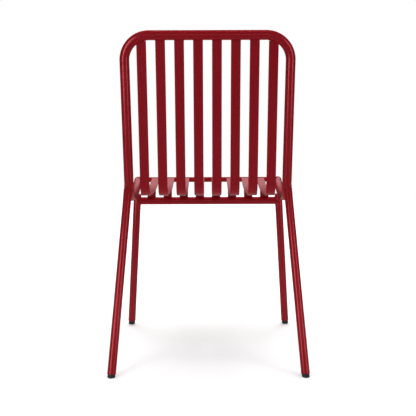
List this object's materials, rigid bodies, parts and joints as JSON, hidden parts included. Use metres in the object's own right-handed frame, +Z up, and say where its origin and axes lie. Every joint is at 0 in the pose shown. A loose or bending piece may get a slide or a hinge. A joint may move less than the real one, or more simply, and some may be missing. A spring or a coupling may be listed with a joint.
{
  "type": "bistro chair",
  "caption": "Red metal bistro chair with a bent tube frame, flat slats that run down the back and across the seat, splayed tube legs and black plastic feet.",
  "frame": {"origin": "on the floor, at the centre of the chair's bounding box", "axes": "+Z up, the chair faces -Y, +X towards the sitter's left"},
  "size_m": [0.5144, 0.626, 0.8695],
  "materials": {
    "red_paint": "satin powder coat",
    "black_plastic": "matte"
  },
  "bodies": {
    "root": {"back_and_side_frame": "red_paint", "front_rail": "red_paint", "front_cross_bar": "red_paint", "front_leg_left": "red_paint", "front_leg_right": "red_paint", "rear_leg_left": "red_paint", "rear_leg_right": "red_paint", "slat_1": "red_paint", "slat_2": "red_paint", "slat_3": "red_paint", "slat_4": "red_paint", "slat_5": "red_paint", "slat_6": "red_paint", "slat_7": "red_paint", "slat_8": "red_paint", "slat_spacer_1": "red_paint", "slat_spacer_2": "red_paint", "slat_spacer_3": "red_paint", "slat_spacer_4": "red_paint", "slat_spacer_5": "red_paint", "slat_spacer_6": "red_paint", "slat_spacer_7": "red_paint", "slat_spacer_8": "red_paint", "rail_cap_left": "red_paint", "rail_cap_right": "red_paint", "foot_front_left": "black_plastic", "foot_front_right": "black_plastic", "foot_rear_left": "black_plastic", "foot_rear_right": "black_plastic"}
  },
  "joints": []
}
